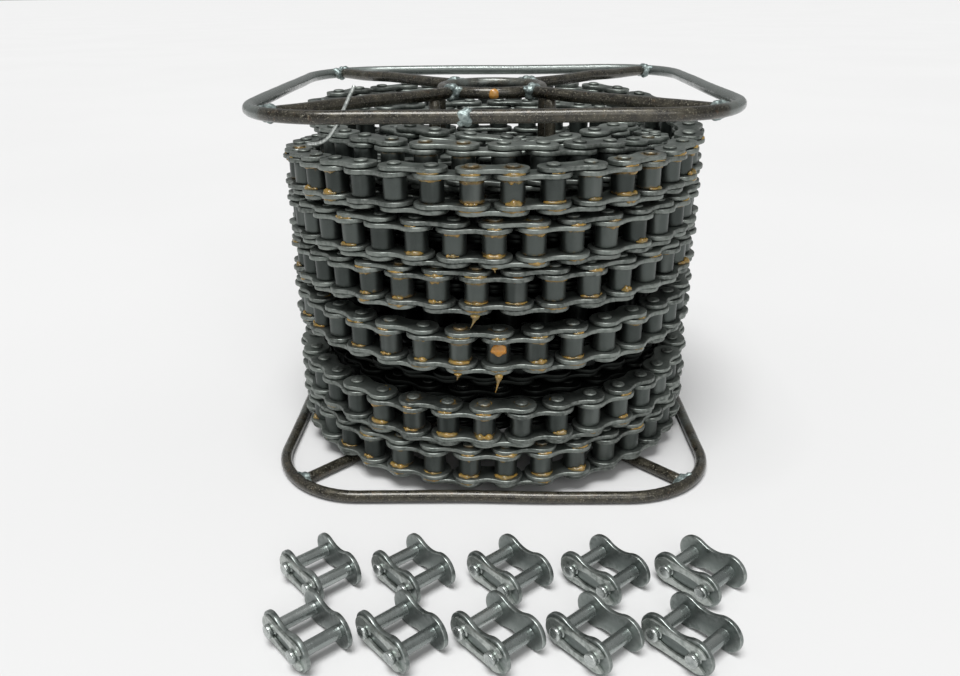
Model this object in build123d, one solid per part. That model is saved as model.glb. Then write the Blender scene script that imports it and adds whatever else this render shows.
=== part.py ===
from build123d import *
import json
import math
import os

# Roller chain wound on a welded rod reel, with a free articulated end and ten
# spare connecting links.  Millimetres, +Z up, origin on the reel's winding axis
# at the plane the reel stands on.  +Y is the reel's back, -Y its front.

os.makedirs("parts", exist_ok=True)

# ---------------------------------------------------------------- chain sizes
PITCH = 12.70          # pin centre to pin centre
ROLLER_D = 7.92        # roller outside diameter
ROLLER_BORE = 5.76     # roller bore, runs on the bushing
ROLLER_W = 7.65        # roller width, runs between the inner plates
INNER_W = 7.85         # gap between the two inner plates
PLATE_T = 1.50         # thickness of every link plate
INNER_H = 11.80        # height of an inner plate across its lobes
INNER_WAIST = 8.60     # height of an inner plate at its waist
OUTER_H = 10.40        # height of an outer plate across its lobes
OUTER_WAIST = 7.30     # height of an outer plate at its waist
BUSH_D = 5.60          # bushing outside diameter, pressed into the inner plates
BUSH_BORE = 4.10       # bushing bore: 0.065 mm radial running clearance on the pin
BUSH_BORE_WOUND = 4.50 # bore of the wound links' bushings, opened for the winding's twist
PIN_D = 3.97           # pin diameter
PIN_L = 16.60          # riveted pin, end to end
SIDE_GAP = 0.30        # inner plate to outer plate, each side
OUTER_IN = INNER_W / 2 + PLATE_T + SIDE_GAP   # inside face of an outer plate

# ------------------------------------------------------------ connecting link
CLIP_T = 0.80          # spring clip thickness
CLIP_GAP = 0.03        # clip to cover plate
GROOVE_D = 3.20        # groove in the connecting link's pins that holds the clip
CONN_PIN_END = 9.40    # the pins' free ends, from the link's centre plane

# ----------------------------------------------------------------- reel sizes
ROD_D = 4.2            # wire rod of the whole reel
LOOP_HALF = 79.2       # rod centre of each square loop, half its side
LOOP_CORNER = 32.0     # corner radius of the loops at the rod's centre
TOP_Z = 132.6          # rod centre of the upper loop
BOT_Z = ROD_D / 2      # rod centre of the lower loop, which stands on the floor
HUB_R = 18.8           # rod centre radius of the hub rings
CORE_R = 29.4          # the four upright core rods, under the spokes
BEAD_R = 2.9           # weld beads
WIRE_D = 1.2           # tie wire

# ------------------------------------------------------------- winding sizes
LAYER_R = (37.9, 49.9, 61.9, 73.9)   # pin circle of each layer, hub outwards
ROW_0 = 12.6           # pin-centre height of the lowest row of the inner layers
ROW_STEP = 17.03       # height from row to row in the inner layers
ROWS = 6               # turns in each inner layer
SECTOR_A, SECTOR_B = 200.0, 265.0    # azimuth where the chain steps to the next layer
# azimuths between which each inner layer's turns change row, hub outwards: the
# first layer winds down, the second up and the third down
CLIMB = ((340.0, 560.0), (265.0, 385.0), (380.0, 560.0))
# outer layer: pin-centre height of each row at the front, lowest first
FRONT_Z = (12.6, 28.6, 56.2, 77.2, 92.9, 109.6)
TAIL_Z = 120.6         # height of the free end
TAIL_LINKS = 8         # links of the free end that move
TAIL_END = 251.0       # azimuth of the last pin


# ================================================================ solid makers
def plate(height, waist, z0):
    """Figure-8 link plate with two holes, lying at z0..z0+PLATE_T."""
    h, r, w = PITCH / 2, height / 2, waist / 2
    rw = (h * h + w * w - r * r) / (2 * (r - w))
    cy = w + rw
    k = r / (r + rw)
    tx, ty = h * (1 - k), cy * k
    hole = BUSH_D / 2 if height == INNER_H else PIN_D / 2
    with BuildSketch(Plane.XY.offset(z0)) as s:
        with BuildLine():
            ThreePointArc((-tx, ty), (0, w), (tx, ty))
            ThreePointArc((tx, ty), (h + r, 0), (tx, -ty))
            ThreePointArc((tx, -ty), (0, -w), (-tx, -ty))
            ThreePointArc((-tx, -ty), (-h - r, 0), (-tx, ty))
        make_face()
        with Locations((-h, 0), (h, 0)):
            Circle(hole, mode=Mode.SUBTRACT)
    return extrude(s.sketch, PLATE_T).solid()


def rod(p, q, d):
    """Round bar from p to q."""
    p, q = Vector(*p), Vector(*q)
    pl = Plane(origin=p, z_dir=(q - p))
    return extrude(pl * Circle(d / 2), (q - p).length).solid()


def tube_z(do, di, length, x=0.0):
    a = Cylinder(do / 2, length) - Cylinder(di / 2, length)
    return (Pos(x, 0, 0) * a).solid()


IN_TOP = plate(INNER_H, INNER_WAIST, INNER_W / 2)
IN_BOT = plate(INNER_H, INNER_WAIST, -INNER_W / 2 - PLATE_T)
OUT_TOP = plate(OUTER_H, OUTER_WAIST, OUTER_IN)
OUT_BOT = plate(OUTER_H, OUTER_WAIST, -OUTER_IN - PLATE_T)
BUSH_L = INNER_W + 2 * PLATE_T
H = PITCH / 2


def pin_at(x):
    return (Pos(x, 0, 0) * Cylinder(PIN_D / 2, PIN_L)).solid()


PINS = [pin_at(-H), pin_at(H)]
BUSH_RUN = [tube_z(BUSH_D, BUSH_BORE, BUSH_L, x) for x in (-H, H)]
BUSH_WOUND = [tube_z(BUSH_D, BUSH_BORE_WOUND, BUSH_L, x) for x in (-H, H)]
ROLLERS = [tube_z(ROLLER_D, ROLLER_BORE, ROLLER_W, x) for x in (-H, H)]


# ================================================================ chain's path
def lin(x, knots):
    if x <= knots[0][0]:
        return knots[0][1]
    for (x0, y0), (x1, y1) in zip(knots, knots[1:]):
        if x <= x1:
            return y0 + (y1 - y0) * (x - x0) / (x1 - x0)
    return knots[-1][1]


def build_knots():
    """Radius and height of the pin centres against the unwrapped azimuth."""
    rk, zk = [], []
    turn = 0.0
    top = ROW_0 + ROW_STEP * ROWS
    zk.append((SECTOR_B, top))
    rk.append((SECTOR_B, LAYER_R[0]))
    start = SECTOR_B
    level = ROWS
    step = -1
    base = SECTOR_B
    for layer in range(3):
        for n in range(ROWS):
            level += step
            c0, c1 = CLIMB[layer]
            zk.append((base + c0 - SECTOR_B, ROW_0 + ROW_STEP * (level - step)))
            zk.append((base + c1 - SECTOR_B, ROW_0 + ROW_STEP * level))
            base += 360
            zk.append((base, ROW_0 + ROW_STEP * level))
        # the last sector of the layer carries the step outwards
        rk.append((base - (SECTOR_B - SECTOR_A), LAYER_R[layer]))
        rk.append((base, LAYER_R[layer + 1]))
        step = -step
    # outer layer: azimuth 0 is the front; the turn count starts at `front`
    front = base + (360 - SECTOR_B)
    z = FRONT_Z
    f = front
    zk += [(f + 70, z[0]), (f + 190, z[1] + 0.8), (f + 272, z[1] + 0.8), (f + 300, z[1])]
    f += 360
    zk += [(f + 65, z[1]), (f + 270, z[2])]
    for k in (2, 3, 4):
        f += 360
        zk += [(f + 70, z[k]), (f + 330, z[k + 1])]
    f += 360
    zk += [(f + 62, z[5]), (f + 138, TAIL_Z), (f + 400, TAIL_Z)]
    return rk, zk, start, f + TAIL_END


RK, ZK, PHI_START, PHI_END = build_knots()
SMOOTH = [-12, -8, -4, 0, 4, 8, 12]
INNER_END = SECTOR_B + 360.0 * ROWS * 3      # where the outer layer begins


def path(phi):
    """Pin centre at an unwrapped azimuth; azimuth 0 is the front (-Y), +90 is +X."""
    r = sum(lin(phi + s, RK) for s in SMOOTH) / len(SMOOTH)
    k = 2.0 if phi < INNER_END else 1.0      # the inner layers' rises are eased further
    z = sum(lin(phi + s * k, ZK) for s in SMOOTH) / len(SMOOTH)
    a = math.radians(phi)
    return (r * math.sin(a), -r * math.cos(a), z)


def dist(p, q):
    return math.dist(p, q)


def walk():
    """Pin centres exactly one pitch apart, from the free end back to the hub."""
    phis, pts = [PHI_END], [path(PHI_END)]
    while True:
        p = pts[-1]
        lo, hi = phis[-1] - 40.0, phis[-1] - 2.0
        if lo < PHI_START:
            break
        for _ in range(60):
            mid = (lo + hi) / 2
            if dist(path(mid), p) > PITCH:
                lo = mid
            else:
                hi = mid
        phi = (lo + hi) / 2
        phis.append(phi)
        pts.append(path(phi))
    return phis, pts


PHIS, PTS = walk()          # index 0 is the free end's last pin centre
if len(PTS) % 2:            # the hub end stops on an inner link too
    PHIS.pop()
    PTS.pop()


def link_location(p, q):
    """Frame of the link between pin centres p and q: X along it, Z along its pins."""
    p, q = Vector(*p), Vector(*q)
    u = (q - p).normalized()
    n = Vector(0, 0, 1) - u * u.Z
    return Plane(origin=(p + q) * 0.5, x_dir=u, z_dir=n).location


LAYER_EDGES = [PHI_START]
for i in range(3):
    LAYER_EDGES.append(PHI_START + 360 * ROWS * (i + 1) - 30)
LAYER_EDGES.append(PHI_END + 1)


def group_of(phi):
    """hub_wraps: the two inner layers; second_wrap; outer_wrap."""
    if phi < LAYER_EDGES[2]:
        return "hub_wraps"
    if phi < LAYER_EDGES[3]:
        return "second_wrap"
    return "outer_wrap"


groups = {}


def put(node, solid):
    groups.setdefault(node, []).append(solid)


tail = []
count = {"inner": 0, "outer": 0}
for i in range(len(PTS) - 1):
    inner = i % 2 == 0      # the free end's last link is an inner link
    loc = link_location(PTS[i + 1], PTS[i])
    if i < TAIL_LINKS:
        no = i // 2 + 1
        if inner:
            base = f"free_inner_link_{no}"
            put(base + "_plates", IN_TOP.moved(loc))
            put(base + "_plates", IN_BOT.moved(loc))
            for b in BUSH_RUN:
                put(base + "_bushings", b.moved(loc))
            put(base + "_roller_a", ROLLERS[0].moved(loc))
            put(base + "_roller_b", ROLLERS[1].moved(loc))
        else:
            base = f"free_outer_link_{no}"
            put(base + "_plates", OUT_TOP.moved(loc))
            put(base + "_plates", OUT_BOT.moved(loc))
            for b in PINS:
                put(base + "_pins", b.moved(loc))
        tail.append({"body": base, "inner": inner, "hub_pin": PTS[i + 1], "end_pin": PTS[i]})
        continue
    g = group_of((PHIS[i] + PHIS[i + 1]) / 2)
    if inner:
        count["inner"] += 1
        put(g + "_inner_plates", IN_TOP.moved(loc))
        put(g + "_inner_plates", IN_BOT.moved(loc))
        last = i == TAIL_LINKS      # carries the first moving pin
        for b in (BUSH_RUN if last else BUSH_WOUND):
            put(g + "_bushings", b.moved(loc))
        for b in ROLLERS:
            put(g + "_rollers", b.moved(loc))
    else:
        count["outer"] += 1
        put(g + "_outer_plates", OUT_TOP.moved(loc))
        put(g + "_outer_plates", OUT_BOT.moved(loc))
        for b in PINS:
            put(g + "_pins", b.moved(loc))


# ======================================================================== reel
def loop(z):
    a, c = LOOP_HALF, LOOP_CORNER
    b = a - c
    m = b + c * math.sqrt(0.5)
    with BuildLine(Plane.XY.offset(z)) as line:
        Line((-a, -b), (-a, b))
        ThreePointArc((-a, b), (-m, m), (-b, a))
        Line((-b, a), (b, a))
        ThreePointArc((b, a), (m, m), (a, b))
        Line((a, b), (a, -b))
        ThreePointArc((a, -b), (m, -m), (b, -a))
        Line((b, -a), (-b, -a))
        ThreePointArc((-b, -a), (-m, -m), (-a, -b))
    prof = Plane(origin=(-a, -b, z), z_dir=(0, 1, 0)) * Circle(ROD_D / 2)
    return sweep(prof, path=line.wire()).solid()


def ring(z):
    return Pos(0, 0, z) * Torus(HUB_R, ROD_D / 2)


SPOKE_IN = HUB_R + ROD_D / 2 + 0.15
SPOKE_OUT = (LOOP_HALF - LOOP_CORNER) * math.sqrt(2) + LOOP_CORNER - ROD_D / 2 - 0.3
DIAG = [(math.cos(math.radians(t)), math.sin(math.radians(t))) for t in (45, 135, 225, 315)]

put("top_loop", loop(TOP_Z))
put("bottom_loop", loop(BOT_Z))
put("top_hub_ring", ring(TOP_Z).solid())
put("bottom_hub_ring", ring(BOT_Z).solid())
for c, s in DIAG:
    for node, z in (("top_spokes", TOP_Z), ("bottom_spokes", BOT_Z)):
        put(node, rod((c * SPOKE_IN, s * SPOKE_IN, z), (c * SPOKE_OUT, s * SPOKE_OUT, z), ROD_D))
        put("weld_beads", (Pos(c * (SPOKE_IN - 0.6), s * (SPOKE_IN - 0.6), z) * Sphere(BEAD_R)).solid()
            if z > 10 else (Pos(c * (SPOKE_IN - 0.6), s * (SPOKE_IN - 0.6), z + 0.85) * Sphere(BEAD_R)).solid())
        put("weld_beads", (Pos(c * SPOKE_OUT, s * SPOKE_OUT, z + (0 if z > 10 else 0.85)) * Sphere(BEAD_R)).solid())
    put("core_rods", rod((c * CORE_R, s * CORE_R, BOT_Z + ROD_D / 2 - 0.25), (c * CORE_R, s * CORE_R, TOP_Z - ROD_D / 2 + 0.25), ROD_D))
# butt weld in the front bar of the upper loop
put("weld_beads", (Pos(-8.0, -LOOP_HALF, TOP_Z) * Sphere(2.75)).solid())

# Galvanised tie wire: a cut end that stands up through the reel and a bent
# foot that lies across the top row near the free end.
WIRE = [(-43.7, -55.0, 139.3), (-47.9, -57.2, 131.0), (-53.0, -56.6, 122.6),
        (-58.0, -50.5, 120.4), (-62.5, -43.0, 119.0)]
with BuildLine() as wl:
    FilletPolyline(*WIRE, radius=3.0)
w0 = Vector(*WIRE[0])
put("tie_wire", sweep(Plane(origin=w0, z_dir=Vector(*WIRE[1]) - w0) * Circle(WIRE_D / 2), path=wl.wire()).solid())


# ===================================================== spare connecting links
def clip_solid():
    """Spring clip: closed round nose at -X, two arms, split end at +X."""
    z0 = OUTER_IN + PLATE_T + CLIP_GAP
    w = GROOVE_D / 2 + 0.04
    with BuildSketch(Plane.XY.offset(z0)) as s:
        SlotCenterToCenter(PITCH + 0.6, 8.2)
        with Locations((0, 0)):
            SlotCenterToCenter(PITCH, 2 * w, mode=Mode.SUBTRACT)
        with Locations((H + 4.0, 0)):
            Rectangle(8.0, 1.7, mode=Mode.SUBTRACT)
        with Locations((H + 5.2, 0)):
            Rectangle(3.4, 20, mode=Mode.SUBTRACT)
    return extrude(s.sketch, CLIP_T).solid()


def conn_pin(x):
    zc = OUTER_IN + PLATE_T
    body = Pos(x, 0, (zc - PIN_L / 2) / 2) * Cylinder(PIN_D / 2, zc + PIN_L / 2)
    neck = Pos(x, 0, zc + 0.45) * Cylinder(GROOVE_D / 2, 0.9)
    head = Pos(x, 0, (zc + 0.9 + CONN_PIN_END) / 2) * Cylinder(PIN_D / 2, CONN_PIN_END - zc - 0.9)
    return (body + neck + head).solid()


CONN = [OUT_BOT, OUT_TOP, conn_pin(-H), conn_pin(H)]
CLIP = clip_solid()
ALPHA = math.radians(48.0)   # the links' heading on the floor, towards the front right
SPARES = []
ROW_A = [(-52.2, -122.5), (-24.0, -122.5), (5.2, -122.5), (33.8, -122.5), (62.2, -122.5)]
ROW_B = [(-50.8, -149.2), (-24.9, -149.2), (1.4, -149.2), (27.6, -149.2), (53.8, -149.2)]
for no, (x, y) in enumerate(ROW_A + ROW_B, 1):
    u = Vector(math.cos(ALPHA), -math.sin(ALPHA), 0)
    # pins level; the clip side faces the front left
    v = Vector(-math.sin(ALPHA), -math.cos(ALPHA), 0)
    loc = Plane(origin=(x, y, OUTER_H / 2 + 0.02), x_dir=u, z_dir=v).location
    name = f"connecting_link_{no:02d}"
    for s in CONN:
        put(name, s.moved(loc))
    put(name + "_clip" if no <= 2 else name, CLIP.moved(loc))
    SPARES.append({"name": name, "pos": (x, y, OUTER_H / 2), "u": (u.X, u.Y, u.Z), "v": (v.X, v.Y, v.Z)})

# ====================================================================== output
total = 0
for node in sorted(groups):
    solids = groups[node]
    total += len(solids)
    shape = solids[0] if len(solids) == 1 else Compound(solids)
    export_step(shape, f"parts/{node}.step", write_pcurves=False)
print("nodes", len(groups), "solids", total, "pitches", len(PTS) - 1, count)
print("chain length m", round((len(PTS) - 1) * PITCH / 1000, 3))
print("FACTS " + json.dumps({
    "tail": tail, "spares": SPARES,
    "counts": {k: len(v) for k, v in groups.items()}}))
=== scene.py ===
import math
import random

import bpy
import numpy as np
from mathutils import Matrix, Vector, noise


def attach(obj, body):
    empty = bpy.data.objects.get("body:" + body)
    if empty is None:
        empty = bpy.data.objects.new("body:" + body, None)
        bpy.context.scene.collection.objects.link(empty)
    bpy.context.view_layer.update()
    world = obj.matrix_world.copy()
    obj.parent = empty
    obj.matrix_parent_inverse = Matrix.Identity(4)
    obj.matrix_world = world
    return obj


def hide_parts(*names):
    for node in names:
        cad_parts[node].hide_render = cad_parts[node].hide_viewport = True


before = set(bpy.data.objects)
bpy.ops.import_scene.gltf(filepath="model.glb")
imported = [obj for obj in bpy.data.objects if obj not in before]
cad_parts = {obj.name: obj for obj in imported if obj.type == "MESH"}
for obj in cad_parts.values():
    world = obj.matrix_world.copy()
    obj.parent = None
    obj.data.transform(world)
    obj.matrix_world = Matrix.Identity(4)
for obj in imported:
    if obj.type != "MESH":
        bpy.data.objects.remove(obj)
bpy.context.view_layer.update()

MM = 0.001
scene = bpy.context.scene
scene.view_settings.view_transform = "Standard"
RND = random.Random(4711)

# ------------------------------------------------------------------ sizes, mm
PITCH, H = 12.70, 6.35
ROLLER_D, ROLLER_BORE, ROLLER_W = 7.92, 5.76, 7.65
INNER_W, PLATE_T = 7.85, 1.50
INNER_H, INNER_WAIST, OUTER_H, OUTER_WAIST = 11.80, 8.60, 10.40, 7.30
BUSH_D, BUSH_BORE, BUSH_BORE_WOUND = 5.60, 4.10, 4.50
PIN_D, PIN_L = 3.97, 16.60
OUTER_IN = INNER_W / 2 + PLATE_T + 0.30
CLIP_T, CLIP_GAP, GROOVE_D, CONN_PIN_END = 0.80, 0.03, 3.20, 9.40
ROD_D, LOOP_HALF, LOOP_CORNER, TOP_Z, BOT_Z = 4.2, 79.2, 32.0, 132.6, 2.1
HUB_R, CORE_R, WIRE_D = 18.8, 29.4, 1.2
LAYER_R = (37.9, 49.9, 61.9, 73.9)
ROW_0, ROW_STEP, ROWS = 12.6, 17.03, 6
CLIMB = ((340.0, 560.0), (265.0, 385.0), (380.0, 560.0))
SECTOR_A, SECTOR_B = 200.0, 265.0
FRONT_Z = (12.6, 28.6, 56.2, 77.2, 92.9, 109.6)
TAIL_Z, TAIL_LINKS, TAIL_END = 120.6, 8, 251.0


# ============================================================ the wound path
def lin(x, knots):
    if x <= knots[0][0]:
        return knots[0][1]
    for (x0, y0), (x1, y1) in zip(knots, knots[1:]):
        if x <= x1:
            return y0 + (y1 - y0) * (x - x0) / (x1 - x0)
    return knots[-1][1]


def build_knots():
    rk, zk = [], []
    zk.append((SECTOR_B, ROW_0 + ROW_STEP * ROWS))
    rk.append((SECTOR_B, LAYER_R[0]))
    start = base = SECTOR_B
    level, step = ROWS, -1
    for layer in range(3):
        for n in range(ROWS):
            level += step
            c0, c1 = CLIMB[layer]
            zk.append((base + c0 - SECTOR_B, ROW_0 + ROW_STEP * (level - step)))
            zk.append((base + c1 - SECTOR_B, ROW_0 + ROW_STEP * level))
            base += 360
            zk.append((base, ROW_0 + ROW_STEP * level))
        rk.append((base - (SECTOR_B - SECTOR_A), LAYER_R[layer]))
        rk.append((base, LAYER_R[layer + 1]))
        step = -step
    z, f = FRONT_Z, base + (360 - SECTOR_B)
    zk += [(f + 70, z[0]), (f + 190, z[1] + 0.8), (f + 272, z[1] + 0.8), (f + 300, z[1])]
    f += 360
    zk += [(f + 65, z[1]), (f + 270, z[2])]
    for k in (2, 3, 4):
        f += 360
        zk += [(f + 70, z[k]), (f + 330, z[k + 1])]
    f += 360
    zk += [(f + 62, z[5]), (f + 138, TAIL_Z), (f + 400, TAIL_Z)]
    return rk, zk, start, f + TAIL_END


RK, ZK, PHI_START, PHI_END = build_knots()
SMOOTH = [-12, -8, -4, 0, 4, 8, 12]
INNER_END = SECTOR_B + 360.0 * ROWS * 3


def path(phi):
    r = sum(lin(phi + s, RK) for s in SMOOTH) / len(SMOOTH)
    k = 2.0 if phi < INNER_END else 1.0
    z = sum(lin(phi + s * k, ZK) for s in SMOOTH) / len(SMOOTH)
    a = math.radians(phi)
    return (r * math.sin(a), -r * math.cos(a), z)


def walk():
    phis, pts = [PHI_END], [path(PHI_END)]
    while True:
        p = pts[-1]
        lo, hi = phis[-1] - 40.0, phis[-1] - 2.0
        if lo < PHI_START:
            break
        for _ in range(60):
            mid = (lo + hi) / 2
            if math.dist(path(mid), p) > PITCH:
                lo = mid
            else:
                hi = mid
        phis.append((lo + hi) / 2)
        pts.append(path(phis[-1]))
    return phis, pts


PHIS, PTS = walk()
if len(PTS) % 2:
    PHIS.pop()
    PTS.pop()
LAYER_EDGES = [PHI_START] + [PHI_START + 360 * ROWS * (i + 1) - 30 for i in range(3)] + [PHI_END + 1]


def link_axes(p, q):
    """Rotation (columns x, y, z) and middle of the link between pin centres p and q."""
    p, q = np.array(p), np.array(q)
    u = (q - p) / np.linalg.norm(q - p)
    n = np.array([0, 0, 1.0]) - u * u[2]
    n /= np.linalg.norm(n)
    return np.column_stack([u, np.cross(n, u), n]), (p + q) / 2


# ============================================================ mesh templates
class Tmpl:
    """Vertices (mm) with an edge-wear and a near-the-joint value, and quads and tris."""

    def __init__(self, v, faces, flat, edge, core):
        self.v = np.array(v, float)
        self.edge, self.core = np.array(edge, float), np.array(core, float)
        self.q = np.array([f for f in faces if len(f) == 4], int).reshape(-1, 4)
        self.t = np.array([f for f in faces if len(f) == 3], int).reshape(-1, 3)
        self.qs = np.array([not s for f, s in zip(faces, flat) if len(f) == 4], bool)
        self.ts = np.array([not s for f, s in zip(faces, flat) if len(f) == 3], bool)

    def moved(self, x=0.0, z=0.0):
        o = Tmpl.__new__(Tmpl)
        o.__dict__.update(self.__dict__)
        o.v = self.v + np.array([x, 0, z])
        return o


def weld(v, faces, flat, edge, core):
    key, remap, nv, ne, nc = {}, [], [], [], []
    for p, e, c in zip(v, edge, core):
        k = (round(p[0], 4), round(p[1], 4), round(p[2], 4))
        if k not in key:
            key[k] = len(nv)
            nv.append(p)
            ne.append(e)
            nc.append(c)
        remap.append(key[k])
    nf, ns = [], []
    for f, s in zip(faces, flat):
        g = []
        for i in f:
            if remap[i] not in g:
                g.append(remap[i])
        if len(g) > 2:
            nf.append(tuple(g))
            ns.append(s)
    return nv, nf, ns, ne, nc


def plate_tmpl(height, waist, hole, z0, b=0.30, nl=18, nw=4, nm=2, nb=2, swell=0.0):
    """Blanked figure-8 link plate: rolled edges all round, two pierced holes."""
    h, r, w, t = H, height / 2, waist / 2, PLATE_T
    rw = (h * h + w * w - r * r) / (2 * (r - w))
    cy = w + rw
    k = r / (r + rw)
    th = math.atan2(cy * k, -h * k)
    P, N, mid = [], [], []
    for i in range(nl + 1):
        a = -th + 2 * th * i / nl
        P.append((h + r * math.cos(a), r * math.sin(a)))
        N.append((math.cos(a), math.sin(a)))
        mid.append(False)
    a0 = math.atan2(cy * k - cy, h * (1 - k))
    up = [a0 + (-math.pi / 2 - a0) * i / nw for i in range(1, nw + 1)]
    for a in up:
        P.append((rw * math.cos(a), cy + rw * math.sin(a)))
        N.append((-math.cos(a), -math.sin(a)))
        mid.append(False)
    for i in range(1, nm):
        P.append((0.0, w - 2 * w * i / nm))
        N.append((0, 0))
        mid.append(True)
    for a in reversed(up):
        P.append((rw * math.cos(a), -cy - rw * math.sin(a)))
        N.append((-math.cos(a), math.sin(a)))
        mid.append(False)
    n = len(P)
    ia, ib = nl + nw, nl + nw + nm          # the mid-line runs from ia to ib
    layers = []
    for i in range(nb + 1):
        a = math.pi / 2 * i / nb
        layers.append((b * (1 - math.sin(a)), t - b + b * math.cos(a), 0.55 + 0.45 * math.sin(math.pi * i / nb)))
    for i in range(nb + 1):
        a = math.pi / 2 * (1 - i / nb)
        layers.append((b * (1 - math.sin(a)), b - b * math.cos(a), 0.55 + 0.45 * math.sin(math.pi * i / nb)))
    v, edge, core, faces, flat = [], [], [], [], []
    for m in (1, -1):
        base = len(v)
        for inset, z, e in layers:
            for (x, y), (nx, ny), is_mid in zip(P, N, mid):
                v.append((m * (x - nx * inset), y - ny * inset, z0 + z))
                edge.append(0.0 if is_mid else e)
                core.append(0.25 if math.hypot(x - h, y) < r * 1.02 else 0.0)
        ht = len(v)
        for z in (t, 0):
            for (x, y) in P:
                a = math.atan2(y, x - h)
                v.append((m * (h + hole * math.cos(a)), hole * math.sin(a), z0 + z))
                edge.append(0.0)
                core.append(1.0)

        def put(*f, s=False):
            faces.append(tuple(f) if m == 1 else tuple(reversed(f)))
            flat.append(s)

        nL = len(layers)
        for j in range(n):
            j2 = (j + 1) % n
            top, bot = base, base + (nL - 1) * n
            put(ht + j, top + j, top + j2, ht + j2, s=True)
            put(ht + n + j, ht + n + j2, bot + j2, bot + j, s=True)
            put(ht + j, ht + j2, ht + n + j2, ht + n + j)
            if not ia <= j < ib:
                for k2 in range(nL - 1):
                    a, c = base + k2 * n, base + (k2 + 1) * n
                    put(a + j, c + j, c + j2, a + j2)
    return Tmpl(*weld(v, faces, flat, edge, core))


def revolve(profile, n, closed=False, x0=0.0, turn=0.0):
    """Profile of (radius, z, edge, core) turned about local Z; radius 0 ends close with a fan."""
    v, edge, core, faces, idx = [], [], [], [], []
    for r, z, e, c in profile:
        if r < 1e-6:
            idx.append([len(v)])
            v.append((x0, 0, z))
            edge.append(e)
            core.append(c)
        else:
            idx.append(list(range(len(v), len(v) + n)))
            for i in range(n):
                a = turn + 2 * math.pi * i / n
                v.append((x0 + r * math.cos(a), r * math.sin(a), z))
                edge.append(e)
                core.append(c)
    m = len(profile)
    for k in range(m if closed else m - 1):
        a, b = idx[k], idx[(k + 1) % m]
        for i in range(n):
            j = (i + 1) % n
            if len(a) == 1:
                faces.append((a[0], b[j], b[i]))
            elif len(b) == 1:
                faces.append((a[i], a[j], b[0]))
            else:
                faces.append((a[i], a[j], b[j], b[i]))
    return Tmpl(v, faces, [False] * len(faces), edge, core)


def roller_tmpl(n):
    R, w, b = ROLLER_D / 2, ROLLER_W / 2, ROLLER_BORE / 2
    c = 0.55
    prof = [(b, -w + 0.15, 0, 1), (b + 0.15, -w, .2, 1), (R - c, -w, .3, 1)]
    for i in range(1, 4):
        a = math.pi / 2 * i / 3
        prof.append((R - c + c * math.sin(a), -w + c - c * math.cos(a), [0, .8, 1, .45][i], 1.0))
    prof += [(R - 0.015, -w * .55, 0, .3), (R, 0, 0, 0), (R - 0.015, w * .55, 0, .3)]
    for i in (3, 2, 1):
        a = math.pi / 2 * i / 3
        prof.append((R - c + c * math.sin(a), w - c + c * math.cos(a), [0, .8, 1, .45][i], 1.0))
    prof += [(R - c, w, .3, 1), (b + 0.15, w, .2, 1), (b, w - 0.15, 0, 1)]
    return revolve(prof, n, closed=True)


def bush_tmpl(bore, n):
    R, r, L = BUSH_D / 2, bore / 2, (INNER_W + 2 * PLATE_T) / 2
    prof = [(r, -L + .2, 0, 1), (r + .2, -L, .8, 1), (R - .12, -L, .8, 1), (R, -L + .12, .3, 1),
            (R, L - .12, .3, 1), (R - .12, L, .8, 1), (r + .2, L, .8, 1), (r, L - .2, 0, 1)]
    return revolve(prof, n, closed=True)


def pin_tmpl(n, stakes, seed):
    """Riveted pin: the ends are spread over the plate and carry the stake marks."""
    rr = random.Random(seed)
    out = OUTER_IN + PLATE_T
    half = [(PIN_D / 2, out - 0.1, 0, 1), (2.12, out + 0.03, 0, 1), (2.33, out + 0.22, .4, .9), (2.31, out + 0.5, .9, .8),
            (2.1, out + 0.74, 1, .7), (1.82, out + 0.86, .9, .6), (1.5, out + 0.93, .6, .5), (1.12, out + 0.98, .5, .5),
            (0.6, out + 1.03, .5, .5), (0, out + 1.06, .6, .5)]
    prof = [(r, -z, e, c) for r, z, e, c in reversed(half)] + half
    t = revolve(prof, n)
    turn = [rr.uniform(0, 6.28) for _ in range(2)]
    v = t.v
    for i in range(len(v)):
        x, y, z = v[i]
        r = math.hypot(x, y)
        if abs(z) > out + 0.4 and r < 2.4:
            a = math.atan2(y, x) - turn[int(z > 0)]
            d = 0.0
            if stakes:
                ph = (a * stakes / (2 * math.pi)) % 1.0
                ph = min(ph, 1 - ph) * 2 * math.pi / stakes
                d = 0.34 * math.exp(-((r - 1.5) / 0.42) ** 2) * math.exp(-(ph * max(r, .6) / 0.42) ** 2)
            else:
                d = 0.3 * math.exp(-((r - 1.2) / 0.3) ** 2) * (0.75 + 0.25 * math.sin(3 * a))
            d += 0.05 * (noise.noise(Vector((x * 1.7, y * 1.7, seed + z * 0.1))))
            v[i, 2] = z - math.copysign(d, z)
            t.edge[i] = min(1, t.edge[i] + (0.35 if 0.04 < d < 0.2 else 0))
    return t


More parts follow.
